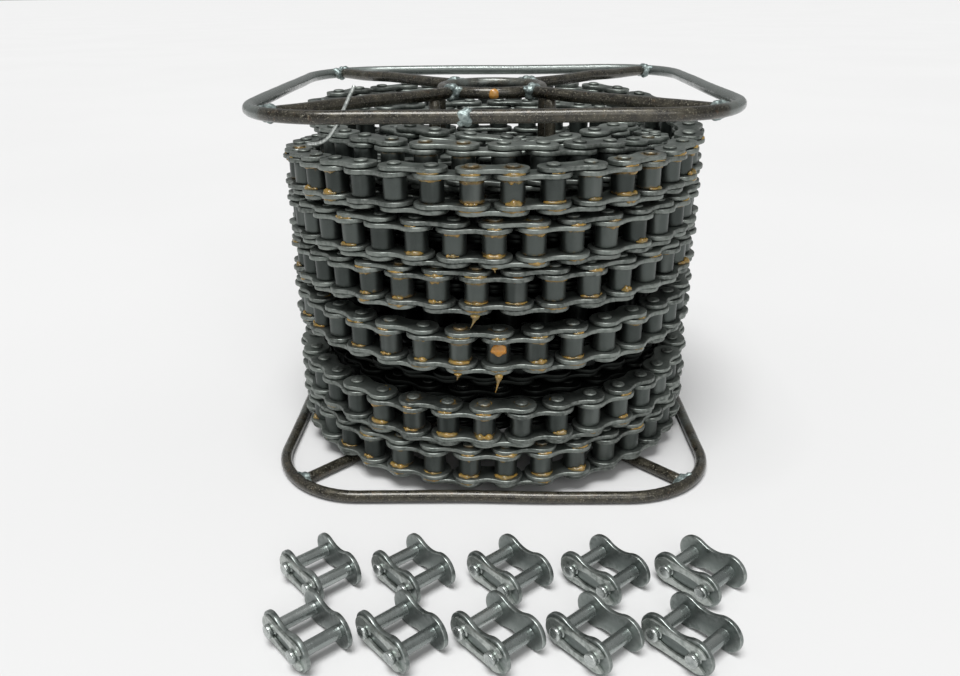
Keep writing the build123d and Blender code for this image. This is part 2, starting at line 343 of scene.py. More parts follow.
class Soup:
    def __init__(self):
        self.v, self.q, self.t, self.qs, self.ts = [], [], [], [], []
        self.edge, self.tone, self.amber = [], [], []
        self.n = 0

    def add(self, T, R=None, p=(0, 0, 0), tone=0.5, amber=0.0):
        v = T.v if R is None else T.v @ R.T
        self.v.append(v + np.array(p, float))
        if len(T.q):
            self.q.append(T.q + self.n)
            self.qs.append(T.qs)
        if len(T.t):
            self.t.append(T.t + self.n)
            self.ts.append(T.ts)
        self.edge.append(T.edge)
        self.tone.append(np.full(len(v), tone))
        self.amber.append(T.core * amber)
        self.n += len(v)

    def build(self, name, mat, body, nodes=(), slot=None):
        V = np.concatenate(self.v) * MM
        q = np.concatenate(self.q) if self.q else np.zeros((0, 4), int)
        t = np.concatenate(self.t) if self.t else np.zeros((0, 3), int)
        smooth = np.concatenate([np.concatenate(self.qs) if self.qs else np.zeros(0, bool),
                                 np.concatenate(self.ts) if self.ts else np.zeros(0, bool)])
        me = bpy.data.meshes.new(name)
        me.vertices.add(len(V))
        me.vertices.foreach_set("co", V.astype(np.float32).ravel())
        me.loops.add(q.size + t.size)
        me.loops.foreach_set("vertex_index", np.concatenate([q.ravel(), t.ravel()]).astype(np.int32))
        me.polygons.add(len(q) + len(t))
        starts = np.concatenate([np.arange(len(q)) * 4, q.size + np.arange(len(t)) * 3]).astype(np.int32)
        me.polygons.foreach_set("loop_start", starts)
        me.polygons.foreach_set("use_smooth", smooth)
        for key, val in (("edge", self.edge), ("tone", self.tone), ("amber", self.amber)):
            at = me.attributes.new(key, "FLOAT", "POINT")
            at.data.foreach_set("value", np.concatenate(val).astype(np.float32))
        me.update(calc_edges=True)
        me.validate()
        me.materials.append(mat)
        o = bpy.data.objects.new(name, me)
        scene.collection.objects.link(o)
        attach(o, body)
        if nodes:
            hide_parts(*nodes)
        return o


# ================================================================= materials
class Nodes:
    def __init__(self, name):
        self.m = bpy.data.materials.new(name)
        self.m.use_nodes = True
        self.nt = self.m.node_tree
        self.b = self.nt.nodes["Principled BSDF"]
        self.co = self.nt.nodes.new("ShaderNodeTexCoord").outputs["Object"]

    def link(self, a, b):
        self.nt.links.new(a, b)

    def noise(self, scale, detail=3.0, rough=0.55, stretch=None, turn=0.0):
        n = self.nt.nodes.new("ShaderNodeTexNoise")
        n.inputs["Scale"].default_value = scale
        n.inputs["Detail"].default_value = detail
        n.inputs["Roughness"].default_value = rough
        if stretch:
            mp = self.nt.nodes.new("ShaderNodeMapping")
            mp.vector_type = "TEXTURE"
            mp.inputs["Rotation"].default_value = (0.0, 0.0, turn)
            mp.inputs["Scale"].default_value = stretch
            self.link(self.co, mp.inputs["Vector"])
            self.link(mp.outputs["Vector"], n.inputs["Vector"])
        else:
            self.link(self.co, n.inputs["Vector"])
        return n.outputs["Fac"]

    def voronoi(self, scale, feature="F1"):
        n = self.nt.nodes.new("ShaderNodeTexVoronoi")
        n.feature = feature
        n.inputs["Scale"].default_value = scale
        self.link(self.co, n.inputs["Vector"])
        return n.outputs["Distance"]

    def attr(self, name):
        n = self.nt.nodes.new("ShaderNodeAttribute")
        n.attribute_name = name
        return n.outputs["Fac"]

    def rng(self, x, a, b, c=0.0, d=1.0, smooth=True):
        n = self.nt.nodes.new("ShaderNodeMapRange")
        n.interpolation_type = "SMOOTHSTEP" if smooth else "LINEAR"
        for i, val in zip(range(1, 5), (a, b, c, d)):
            n.inputs[i].default_value = val
        self.link(x, n.inputs[0])
        return n.outputs[0]

    def math(self, op, a, b=None, clamp=False):
        n = self.nt.nodes.new("ShaderNodeMath")
        n.operation = op
        n.use_clamp = clamp
        for i, x in enumerate((a, b)):
            if x is None:
                continue
            if isinstance(x, (int, float)):
                n.inputs[i].default_value = x
            else:
                self.link(x, n.inputs[i])
        return n.outputs[0]

    def mix(self, f, a, b):
        n = self.nt.nodes.new("ShaderNodeMix")
        n.data_type = "RGBA"
        for key, x in (("A", a), ("B", b)):
            s = [i for i in n.inputs if i.name == key and i.type == "RGBA"][0]
            if isinstance(x, tuple):
                s.default_value = (*x, 1.0)
            else:
                self.link(x, s)
        self.link(f, n.inputs[0])
        return [o for o in n.outputs if o.type == "RGBA"][0]

    def bump(self, h, strength, distance):
        n = self.nt.nodes.new("ShaderNodeBump")
        n.inputs["Strength"].default_value = strength
        n.inputs["Distance"].default_value = distance
        self.link(h, n.inputs["Height"])
        self.link(n.outputs["Normal"], self.b.inputs["Normal"])
        return n


AMBER = (0.205, 0.128, 0.034)


def steel(name, dark, light, worn, metallic=0.88, rough=(0.34, 0.56), grain=2200, amber_on=True, highlight_streak=None, wear=0.75, turn=0.0,
          paint_gap_shade=False):
    """Oiled chain steel; the shade flag paints the shade inside the winding into the colour: near-black below the upper
    rows, unchanged in them.
    """
    N = Nodes(name)
    cloud = N.noise(140, 4)
    fine = N.noise(grain, 3, 0.6)
    tone = N.attr("tone")
    edge = N.attr("edge")
    f = N.math("ADD", N.math("MULTIPLY", cloud, 0.55), N.math("MULTIPLY", tone, 0.55))
    f = N.rng(N.math("ADD", f, N.math("MULTIPLY", fine, 0.25)), 0.42, 0.92)
    col = N.mix(f, dark, light)
    # painted highlights: stretched light streaks mixed into the colour stand in for the bright reflection streaks on
    # rollers and connecting pins
    if highlight_streak:
        s = N.rng(N.noise(90, 3, 0.6, stretch=highlight_streak, turn=turn), 0.50, 0.66)
        col = N.mix(N.math("MULTIPLY", s, 0.45), col, worn)
    w = N.math("MULTIPLY", edge, N.rng(N.math("ADD", N.noise(700, 3), N.math("MULTIPLY", cloud, 0.3)), 0.42, 0.78), True)
    w = N.math("MULTIPLY", w, wear)
    col = N.mix(w, col, worn)
    pit = N.rng(N.voronoi(1500), 0.02, 0.20, 1.0, 0.0)
    col = N.mix(N.math("MULTIPLY", pit, 0.35), col, tuple(0.35 * x for x in dark))
    r = N.rng(N.math("ADD", cloud, N.math("MULTIPLY", fine, 0.5)), 0.5, 1.0, rough[0], rough[1], False)
    if amber_on:
        am = N.attr("amber")
        k = N.rng(N.math("ADD", am, N.math("MULTIPLY", N.math("SUBTRACT", N.noise(520, 3), 0.5), 0.9)), 0.38, 0.72)
        col = N.mix(N.math("MULTIPLY", k, 0.8), col, AMBER)
        r = N.math("MULTIPLY", r, N.rng(k, 0, 1, 1.0, 0.42, False))
        met = N.rng(k, 0, 1, metallic, 0.35, False)
        N.link(met, N.b.inputs["Metallic"])
    else:
        N.b.inputs["Metallic"].default_value = metallic
    # painted shade: below about 0.1 m the colour turns to 0.22 of the dark tone, standing in for the shade between the
    # inner rows
    if paint_gap_shade:
        sep = N.nt.nodes.new("ShaderNodeSeparateXYZ")
        N.link(N.co, sep.inputs[0])
        up = N.rng(N.math("ADD", sep.outputs["Z"], N.math("MULTIPLY", N.math("SUBTRACT", cloud, 0.5), 0.010)), 0.094, 0.110)
        col = N.mix(up, tuple(0.22 * x for x in dark), col)
    N.link(col, N.b.inputs["Base Color"])
    N.link(r, N.b.inputs["Roughness"])
    hgt = N.math("ADD", N.math("MULTIPLY", fine, 0.6), N.math("MULTIPLY", N.noise(600, 2), 0.8))
    N.bump(N.math("SUBTRACT", hgt, N.math("MULTIPLY", pit, 0.4)), 0.35, 0.00006)
    return N.m


M_PLATE = steel("link_plate_steel", (0.085, 0.097, 0.089), (0.180, 0.203, 0.186), (0.36, 0.385, 0.358))
M_ROLLER = steel("roller_steel", (0.052, 0.060, 0.056), (0.094, 0.107, 0.100), (0.17, 0.185, 0.175), rough=(0.30, 0.48),
                 grain=2600, highlight_streak=(1.0, 1.0, 8.0), wear=0.4)
M_PIN = steel("pin_steel", (0.080, 0.091, 0.083), (0.170, 0.190, 0.174), (0.32, 0.34, 0.315), rough=(0.46, 0.64), wear=0.45)
M_BUSH = steel("bushing_steel", (0.09, 0.10, 0.095), (0.16, 0.175, 0.165), (0.30, 0.32, 0.31))
# copies with painted shade for the inner wraps, which sit in the shadow between the rows
M_PLATE_IN_SHADED = steel("link_plate_steel_inner", (0.085, 0.097, 0.089), (0.180, 0.203, 0.186), (0.36, 0.385, 0.358), paint_gap_shade=True)
M_ROLLER_IN_SHADED = steel("roller_steel_inner", (0.052, 0.060, 0.056), (0.094, 0.107, 0.100), (0.17, 0.185, 0.175), rough=(0.34, 0.52),
                    grain=2600, wear=0.4, paint_gap_shade=True)
M_PIN_IN_SHADED = steel("pin_steel_inner_painted_shade", (0.080, 0.091, 0.083), (0.170, 0.190, 0.174), (0.32, 0.34, 0.315), rough=(0.46, 0.64), wear=0.45, paint_gap_shade=True)
M_CONN = steel("connecting_link_steel", (0.125, 0.145, 0.138), (0.205, 0.232, 0.220), (0.44, 0.47, 0.45), rough=(0.26, 0.44), amber_on=False)
M_CONN_PIN = steel("connecting_pin_steel", (0.23, 0.255, 0.247), (0.34, 0.37, 0.357), (0.62, 0.65, 0.63), rough=(0.18, 0.34), amber_on=False,
                   highlight_streak=(12.0, 1.0, 1.0), grain=1500, turn=math.radians(42.0))
M_CLIP = steel("spring_clip_steel", (0.19, 0.215, 0.20), (0.30, 0.33, 0.31), (0.60, 0.63, 0.60), rough=(0.24, 0.40), amber_on=False)


def rod_material():
    """Oily black-brown drawn rod: mill scale specks, rust freckles, grey-green bloom where 'tone' is high."""
    N = Nodes("reel_rod_oxidised")
    base = N.noise(260, 5, 0.65)
    fine = N.noise(2400, 4, 0.7)
    speck = N.rng(N.noise(1900, 3, 0.75), 0.56, 0.68)
    col = N.mix(N.rng(base, 0.35, 0.7), (0.017, 0.0150, 0.0105), (0.062, 0.055, 0.038))
    col = N.mix(N.math("MULTIPLY", speck, 0.75), col, (0.28, 0.260, 0.195))
    rust = N.rng(N.noise(420, 5, 0.7), 0.58, 0.70)
    col = N.mix(N.math("MULTIPLY", rust, 0.38), col, (0.130, 0.066, 0.026))
    ox = N.rng(N.math("ADD", N.attr("tone"), N.math("MULTIPLY", N.math("SUBTRACT", N.noise(120, 4), 0.5), 0.8)), 0.35, 0.75)
    col = N.mix(N.math("MULTIPLY", ox, 0.85), col, (0.17, 0.195, 0.185))
    N.link(col, N.b.inputs["Base Color"])
    N.link(N.rng(N.math("ADD", base, N.math("MULTIPLY", fine, 0.4)), 0.5, 1.0, 0.22, 0.46, False), N.b.inputs["Roughness"])
    N.b.inputs["Coat Weight"].default_value = 0.4
    N.b.inputs["Coat Roughness"].default_value = 0.13
    N.b.inputs["Coat IOR"].default_value = 1.6
    N.b.inputs["Metallic"].default_value = 0.55
    h = N.math("ADD", N.math("MULTIPLY", base, 1.2), N.math("ADD", N.math("MULTIPLY", fine, 0.7), N.math("MULTIPLY", speck, 0.6)))
    N.bump(h, 0.55, 0.00014)
    return N.m


def weld_material():
    N = Nodes("weld_metal")
    a = N.noise(500, 5, 0.65)
    b = N.noise(2500, 3, 0.6)
    col = N.mix(N.rng(a, 0.35, 0.68), (0.125, 0.160, 0.158), (0.36, 0.425, 0.41))
    dark = N.rng(N.noise(240, 4), 0.55, 0.68)
    col = N.mix(N.math("MULTIPLY", dark, 0.7), col, (0.07, 0.07, 0.06))
    # painted glints: pale specks mixed into the weld colour stand in for sparkling highlights
    col = N.mix(N.math("MULTIPLY", N.rng(b, 0.64, 0.72), 0.7), col, (0.66, 0.72, 0.70))
    N.link(col, N.b.inputs["Base Color"])
    N.link(N.rng(a, 0.3, 0.7, 0.24, 0.55, False), N.b.inputs["Roughness"])
    N.b.inputs["Metallic"].default_value = 0.6
    N.bump(N.math("ADD", a, N.math("MULTIPLY", b, 0.5)), 0.7, 0.00022)
    return N.m


def galv_material():
    N = Nodes("galvanised_wire_zinc")
    a = N.noise(900, 4)
    col = N.mix(N.rng(a, 0.35, 0.65), (0.34, 0.37, 0.35), (0.66, 0.69, 0.66))
    N.link(col, N.b.inputs["Base Color"])
    N.link(N.rng(N.noise(1800, 3), 0.3, 0.7, 0.28, 0.5, False), N.b.inputs["Roughness"])
    N.b.inputs["Metallic"].default_value = 0.75
    N.bump(a, 0.4, 0.00008)
    return N.m


def grease_material(name, thin, thick):
    N = Nodes(name)
    a = N.noise(380, 3)
    b = N.noise(1500, 3)
    col = N.mix(N.rng(a, 0.32, 0.68), thin, thick)
    N.link(col, N.b.inputs["Base Color"])
    N.link(N.rng(b, 0.3, 0.7, 0.12, 0.30, False), N.b.inputs["Roughness"])
    N.b.inputs["Metallic"].default_value = 0.0
    N.b.inputs["IOR"].default_value = 1.47
    N.b.inputs["Subsurface Weight"].default_value = 0.25
    N.b.inputs["Subsurface Radius"].default_value = (1.0, 0.45, 0.12)
    N.b.inputs["Subsurface Scale"].default_value = 0.0012
    N.b.inputs["Coat Weight"].default_value = 0.5
    N.b.inputs["Coat Roughness"].default_value = 0.08
    N.bump(N.math("ADD", a, N.math("MULTIPLY", b, 0.5)), 0.6, 0.00022)
    return N.m


M_ROD = rod_material()
M_WELD = weld_material()
M_GALV = galv_material()
M_GREASE = grease_material("amber_grease", (0.175, 0.130, 0.048), (0.31, 0.190, 0.042))
M_GREASE_DEEP = grease_material("orange_grease", (0.40, 0.20, 0.040), (0.56, 0.245, 0.035))


# ============================================================ wound chain
def templates(level):
    if level == "fine":
        p = dict(nl=18, nw=4, nm=2, nb=2)
        pn, rn, bn = 20, 28, 18
    else:
        p = dict(nl=14, nw=3, nm=2, nb=1)
        pn, rn, bn = 14, 20, 14
    return {
        "in": [plate_tmpl(INNER_H, INNER_WAIST, BUSH_D / 2, INNER_W / 2, **p),
               plate_tmpl(INNER_H, INNER_WAIST, BUSH_D / 2, -INNER_W / 2 - PLATE_T, **p)],
        "out": [plate_tmpl(OUTER_H, OUTER_WAIST, PIN_D / 2, OUTER_IN, **p),
                plate_tmpl(OUTER_H, OUTER_WAIST, PIN_D / 2, -OUTER_IN - PLATE_T, **p)],
        "pin": [pin_tmpl(pn, s, i) for i, s in enumerate((4, 3, 0, 4, 2))],
        "roller": roller_tmpl(rn),
        "bush": bush_tmpl(BUSH_BORE_WOUND, bn),
        "bush_run": bush_tmpl(BUSH_BORE, bn + 6),
    }


FINE, COARSE = templates("fine"), templates("coarse")
soups = {}


def soup(key):
    if key not in soups:
        soups[key] = Soup()
    return soups[key]


def az_of(p):
    """Azimuth in degrees from the front; positive towards +X."""
    return math.degrees(math.atan2(p[0], -p[1]))


def greasy(p, rnd):
    """How much amber grease a joint at p carries, 0 to 1."""
    a, r = az_of(p), math.hypot(p[0], p[1])
    front = math.exp(-((a + 6) / 34) ** 2)
    if r < 60:
        return rnd * (0.35 + 0.35 * front)
    if p[2] > 100 and a > 20:
        front = max(front, 0.75 * math.exp(-((a - 45) / 40) ** 2))
    if p[2] > 100 and a < -30:
        front = max(front, 0.6 * math.exp(-((a + 70) / 35) ** 2))
    return 0.18 * rnd + front * (0.25 + 0.75 * rnd)


GREASE_AT = [greasy(p, RND.random()) for p in PTS]
COUNT = len(PTS) - 1
for i in range(COUNT):
    inner = i % 2 == 0
    R, c = link_axes(PTS[i + 1], PTS[i])
    tone = RND.random()
    ga, gb = GREASE_AT[i + 1], GREASE_AT[i]      # local -X pin, local +X pin
    g = (ga + gb) / 2
    if i < TAIL_LINKS:
        no = i // 2 + 1
        base = f"free_{'inner' if inner else 'outer'}_link_{no}"
        T = FINE
        kp, kb = base + "_plates", base + ("_bushings" if inner else "_pins")
        kr = (base + "_roller_a", base + "_roller_b")
        bush = T["bush_run"]
    else:
        phi = (PHIS[i] + PHIS[i + 1]) / 2
        grp = "hub_wraps" if phi < LAYER_EDGES[2] else "second_wrap" if phi < LAYER_EDGES[3] else "outer_wrap"
        T = COARSE if grp == "hub_wraps" else FINE
        kp = grp + ("_inner_plates" if inner else "_outer_plates")
        kb = grp + ("_bushings" if inner else "_pins")
        kr = (grp + "_rollers", grp + "_rollers")
        bush = T["bush_run"] if i == TAIL_LINKS else T["bush"]
    for pl in T["in" if inner else "out"]:
        soup(kp).add(pl, R, c, tone=min(1, max(0, tone + RND.uniform(-.15, .15))), amber=0.85 * g)
    for s, gg in ((-1, ga), (1, gb)):
        pc = c + R[:, 0] * H * s
        if inner:
            soup(kb).add(bush, R, pc, tone=tone, amber=gg)
            a = RND.uniform(0, 6.28)
            Rz = np.array([[math.cos(a), -math.sin(a), 0], [math.sin(a), math.cos(a), 0], [0, 0, 1]])
            soup(kr[0] if s < 0 else kr[1]).add(T["roller"], R @ Rz, pc, tone=RND.random(), amber=0.75 * gg)
        else:
            soup(kb).add(RND.choice(T["pin"]), R, pc, tone=RND.random(), amber=0.8 * gg)

for key, s in soups.items():
    body = "reel"
    if key.startswith("free_"):
        body = key if "_roller_" in key else key.rsplit("_", 1)[0]
    mat, sl = ((M_PLATE, "plate_steel") if key.endswith("plates") else (M_ROLLER, "roller_steel") if "roller" in key
               else (M_PIN, "pin_steel") if key.endswith("pins") else (M_BUSH, "bushing_steel"))
    # the inner wraps take the copies with painted shade
    if key.startswith(("hub_", "second_")):
        mat = {M_PLATE.name: M_PLATE_IN_SHADED, M_ROLLER.name: M_ROLLER_IN_SHADED, M_PIN.name: M_PIN_IN_SHADED}.get(mat.name, mat)
    s.build("look_" + key, mat, body, [key], sl)


# ======================================================== rods, rings, welds
def unit(v):
    return v / np.linalg.norm(v)


def sweep(points, radius, n=16, closed=False, tone=None, squash=None, round_end=0.35):
    """Tube along points (mm); radius is a number or a function of (index, angle)."""
    P = [np.array(p, float) for p in points]
    m = len(P)
    tang = []
    for i in range(m):
        a = P[(i - 1) % m] if closed or i else P[0]
        b = P[(i + 1) % m] if closed or i < m - 1 else P[-1]
        tang.append(unit(b - a))
    up = np.array([0, 0, 1.0])
    if abs(tang[0] @ up) > 0.9:
        up = np.array([0, 1.0, 0])
    fr = []
    x = unit(np.cross(up, tang[0]))
    for i in range(m):
        x = unit(x - tang[i] * (x @ tang[i]))
        fr.append((x, np.cross(tang[i], x)))
    rad = radius if callable(radius) else (lambda i, a: radius)
    rings = []
    if closed:
        seq = [(i, P[i], 1.0) for i in range(m)]
    else:
        e = round_end
        r0, r1 = rad(0, 0), rad(m - 1, 0)
        seq = [(0, P[0], 1 - e), (0, P[0] + tang[0] * r0 * e * 0.4, 1 - e * 0.25)] + [(i, P[i], 1.0) for i in range(1, m - 1)]
        seq += [(m - 1, P[-1] - tang[-1] * r1 * e * 0.4, 1 - e * 0.25), (m - 1, P[-1], 1 - e)]
    v, edge, core, faces, tn = [], [], [], [], []
    for i, p, k in seq:
        X, Y = fr[i]
        for j in range(n):
            a = 2 * math.pi * j / n
            r = rad(i, a) * k
            v.append(p + X * (r * math.cos(a)) + Y * (r * math.sin(a)))
            edge.append(0.3)
            core.append(1.0)
            tn.append(tone(p) if callable(tone) else (0.0 if tone is None else tone))
    L = len(seq)
    for i in range(L if closed else L - 1):
        a, b = i * n, ((i + 1) % L) * n
        for j in range(n):
            k = (j + 1) % n
            faces.append((a + j, a + k, b + k, b + j))
    if not closed:
        for ring, p, back in ((0, P[0], True), (L - 1, P[-1], False)):
            c = len(v)
            v.append(p)
            edge.append(0.3)
            core.append(1.0)
            tn.append(tone(p) if callable(tone) else (0.0 if tone is None else tone))
            for j in range(n):
                k = (j + 1) % n
                faces.append((c, ring * n + k, ring * n + j) if back else (c, ring * n + j, ring * n + k))
    T = Tmpl(v, faces, [False] * len(faces), edge, core)
    T.tone = np.array(tn)
    return T


def add_tone(s, T):
    s.add(T, tone=0.0)
    s.tone[-1] = T.tone


def wavy(r, seed, amp=0.10, f=0.09):
    def fn_for(points):
        def fn(i, a):
            p = points[i]
            return r * (1 + amp * 0.35 * noise.noise(Vector((p[0] * f + seed, p[1] * f, p[2] * f)))
                        + 0.012 * noise.noise(Vector((p[0] * 0.9, p[1] * 0.9 + seed, p[2] * 0.9 + math.cos(a) * 2))))
        return fn
    return fn_for


def bloom_top(p):
    """Grey-green bloom on the back, the left and the right of the reel; the front bar stays dark."""
    x, y = p[0], p[1]
    k = 0.0
    k = max(k, min(1, max(0, (y + 55) / 60)))
    k = max(k, min(1, max(0, (abs(x) - 62) / 14)))
    return 0.12 + 0.72 * k


def loop_points(z, seed, sag=0.0):
    a, c = LOOP_HALF, LOOP_CORNER
    b = a - c
    pts = []
    for q in range(4):
        # corner arcs, then the straight to the next one
        cx, cy = [(b, b), (-b, b), (-b, -b), (b, -b)][q]
        for i in range(14):
            t = math.radians(90 * q + 90 * i / 14)
            pts.append((cx + c * math.cos(t), cy + c * math.sin(t)))
        t = math.radians(90 * (q + 1))
        x0, y0 = cx + c * math.cos(t), cy + c * math.sin(t)
        nx, ny = [(b, b), (-b, b), (-b, -b), (b, -b)][(q + 1) % 4]
        x1, y1 = nx + c * math.cos(t), ny + c * math.sin(t)
        for i in range(40):
            pts.append((x0 + (x1 - x0) * i / 40, y0 + (y1 - y0) * i / 40))
    out = []
    for x, y in pts:
        w = noise.noise(Vector((x * 0.018 + seed, y * 0.018, seed)))
        w2 = noise.noise(Vector((x * 0.03, y * 0.03 + seed, 4.0 + seed)))
        k = 1 + 0.006 * w2
        out.append((x * k, y * k, z + 0.45 * w + sag))
    return out


for nm, z, seed in (("top_loop", TOP_Z, 1.7), ("bottom_loop", BOT_Z, 5.2)):
    pts = loop_points(z, seed, 0.0 if nm == "top_loop" else 0.1)
    if nm == "bottom_loop":
        pts = [(x, y, max(zz, BOT_Z)) for x, y, zz in pts]
    s = Soup()
    tn = bloom_top if nm == "top_loop" else (lambda p: 0.12 + 0.35 * min(1, max(0, (abs(p[0]) - 66) / 14)))
    add_tone(s, sweep(pts, wavy(ROD_D / 2, seed)(pts), 20, True, tn))
    s.build("look_" + nm, M_ROD, "reel", [nm], "reel_rod")

for nm, z, seed in (("top_hub_ring", TOP_Z, 2.3), ("bottom_hub_ring", BOT_Z, 3.1)):
    pts = [((HUB_R + 0.25 * noise.noise(Vector((math.cos(t) * 2 + seed, math.sin(t) * 2, 0)))) * math.cos(t),
            (HUB_R + 0.25 * noise.noise(Vector((math.cos(t) * 2 + seed, math.sin(t) * 2, 0)))) * math.sin(t), z)
           for t in np.linspace(0, 2 * math.pi, 96, endpoint=False)]
    s = Soup()
    add_tone(s, sweep(pts, wavy(ROD_D / 2, seed)(pts), 20, True, lambda p: 0.22 + 0.3 * (p[1] > 5)))
    s.build("look_" + nm, M_ROD, "reel", [nm], "reel_rod")

DIAG = [(math.cos(math.radians(t)), math.sin(math.radians(t))) for t in (45, 135, 225, 315)]
SPOKE_IN = HUB_R + ROD_D / 2 + 0.15
SPOKE_OUT = (LOOP_HALF - LOOP_CORNER) * math.sqrt(2) + LOOP_CORNER - ROD_D / 2 - 0.3


def line_pts(p, q, n, seed, amp):
    p, q = np.array(p, float), np.array(q, float)
    d = unit(q - p)
    e = unit(np.cross(d, [0, 0, 1.0]) if abs(d[2]) < 0.9 else np.array([1.0, 0, 0]))
    f = np.cross(d, e)
    out = []
    for i in range(n + 1):
        t = i / n
        k = math.sin(math.pi * t) * amp
        out.append(tuple(p + (q - p) * t + e * k * noise.noise(Vector((t * 3, seed, 0))) * 2
                         + f * k * noise.noise(Vector((t * 3, seed, 7))) * 2))
    return out


for nm, z in (("top_spokes", TOP_Z), ("bottom_spokes", BOT_Z)):
    s = Soup()
    for k, (c, sn) in enumerate(DIAG):
        pts = line_pts((c * SPOKE_IN, sn * SPOKE_IN, z), (c * SPOKE_OUT, sn * SPOKE_OUT, z), 36, k * 3.3 + z, 0.35)
        if z < 10:
            pts = [(x, y, max(zz, BOT_Z)) for x, y, zz in pts]
        add_tone(s, sweep(pts, wavy(ROD_D / 2, k + z)(pts), 18, False, 0.30 if sn > 0 and z > 10 else 0.10))
    s.build("look_" + nm, M_ROD, "reel", [nm], "reel_rod")

s = Soup()
for k, (c, sn) in enumerate(DIAG):
    pts = line_pts((c * CORE_R, sn * CORE_R, BOT_Z + ROD_D / 2 - 0.25), (c * CORE_R, sn * CORE_R, TOP_Z - ROD_D / 2 + 0.25), 50, k * 1.9, 0.5)
    add_tone(s, sweep(pts, wavy(ROD_D / 2, k * 2.0)(pts), 16, False, 0.05))
s.build("look_core_rods", M_ROD, "reel", ["core_rods"], "reel_rod")


def blob(center, radii, seed, R=None, n=26, m=16, amp=0.22, freq=0.75, tone=0.5):
    """Lumpy closed ball."""
    v, edge, core, faces = [], [], [], []
    C = np.array(center, float)
    for i in range(m + 1):
        th = math.pi * i / m
        cnt = 1 if i in (0, m) else n
        for j in range(cnt):
            a = 2 * math.pi * j / n
            d = np.array([math.sin(th) * math.cos(a), math.sin(th) * math.sin(a), math.cos(th)])
            k = 1 + amp * noise.noise(Vector(d * 1.6 * freq / 0.75 + np.array([seed, 0, 0]))) + amp * 0.5 * noise.noise(Vector(d * 4.5 + np.array([0, seed, 0])))
            p = d * np.array(radii) * k
            if R is not None:
                p = R @ p
            v.append(C + p)
            edge.append(0.5)
            core.append(1.0)
    ring = lambda i: 0 if i == 0 else 1 + (i - 1) * n
    for i in range(m):
        for j in range(n):
            k = (j + 1) % n
            if i == 0:
                faces.append((0, ring(1) + j, ring(1) + k))
            elif i == m - 1:
                faces.append((ring(i) + j, 1 + (m - 1) * n, ring(i) + k))
            else:
                faces.append((ring(i) + j, ring(i + 1) + j, ring(i + 1) + k, ring(i) + k))
    T = Tmpl(v, faces, [False] * len(faces), edge, core)
    T.tone = np.full(len(v), tone)
    return T


def fused(name, parts, voxel, smooth, mat, body, nodes=(), lumps=0.0):
    """Several lumps melted into one skin, as weld metal or grease flows together."""
    s = Soup()
    for T in parts:
        add_tone(s, T)
    raw = s.build(name + "_raw", mat, body)
    md = raw.modifiers.new("melt", "REMESH")
    md.mode = "VOXEL"
    md.voxel_size = voxel * MM
    md.use_smooth_shade = True
    sm = raw.modifiers.new("flow", "SMOOTH")
    sm.factor = 0.6
    sm.iterations = smooth
    dg = bpy.context.evaluated_depsgraph_get()
    me = bpy.data.meshes.new_from_object(raw.evaluated_get(dg))
    if lumps:
        co = np.zeros(len(me.vertices) * 3, np.float32)
        me.vertices.foreach_get("co", co)
        co = co.reshape(-1, 3)
        nr = np.zeros_like(co).ravel()
        me.vertices.foreach_get("normal", nr)
        nr = nr.reshape(-1, 3)
        for i in range(len(co)):
            p = Vector(co[i]) * 1000
            co[i] += nr[i] * (lumps * MM * (noise.noise(p * 1.3) + 0.5 * noise.noise(p * 3.1)))
        me.vertices.foreach_set("co", co.ravel())
        me.update()
    me.name = name
    for a in list(me.attributes):
        if a.name in ("edge", "tone", "amber"):
            me.attributes.remove(a)
    me.materials.clear()
    me.materials.append(mat)
    me.polygons.foreach_set("use_smooth", [True] * len(me.polygons))
    o = bpy.data.objects.new(name, me)
    scene.collection.objects.link(o)
    bpy.data.objects.remove(raw)
    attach(o, body)
    if nodes:
        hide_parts(*nodes)
    return o


welds = []
for q, (c, sn) in enumerate(DIAG):
    d = np.array([c, sn, 0.0])
    t = np.array([-sn, c, 0.0])
    up = np.array([0, 0, 1.0])
    for z in (TOP_Z, BOT_Z):
        top = z > 10
        zz = np.array([0, 0, z])
        for rad, side in ((SPOKE_IN - 0.4, 1), (SPOKE_OUT + 0.3, 2)):
            w = random.Random(int(rad * 10 + q * 7 + z))
            big = 1.1 if side == 2 or top else 0.9
            for k in range(11):
                a = 2 * math.pi * k / 11 + w.uniform(-.2, .2)
                off = t * math.cos(a) * 2.1 * big + up * math.sin(a) * (1.75 if top else 1.0)
                if not top and math.sin(a) < 0:
                    off[2] *= 0.35
                sgn = w.uniform(-0.9, 0.9)
                r = w.uniform(1.15, 1.7) * big
                if not top:
                    r = min(r, 1.6)
                p = d * (rad + sgn) + zz + off
                p[2] = max(p[2], r + 0.05)
                welds.append(blob(p, (r, r, r * 0.9), w.uniform(0, 50), n=14, m=10, amp=0.15))
            # the bead runs a little way along the ring or loop
            for k in (-1, 1):
                r = w.uniform(1.5, 1.95)
                p = d * (rad + (-0.9 if side == 1 else 0.9)) + t * k * w.uniform(2.6, 3.6) + zz + up * (1.0 if top else 0.8)
                p[2] = max(p[2], r + 0.05)
                welds.append(blob(p, (r, r, r * 0.8), w.uniform(0, 50), n=14, m=10, amp=0.15))
# butt weld in the front bar
w = random.Random(9)
for k in range(12):
    a = 2 * math.pi * k / 12
    welds.append(blob((-8.0 + w.uniform(-1.7, 1.7), -LOOP_HALF + math.cos(a) * 1.45, TOP_Z + math.sin(a) * 1.45),
                      (w.uniform(1.3, 1.75),) * 3, w.uniform(0, 50), n=14, m=10, amp=0.15))
fused("look_weld_beads", welds, 0.34, 3, M_WELD, "reel", ["weld_beads"], lumps=0.14)


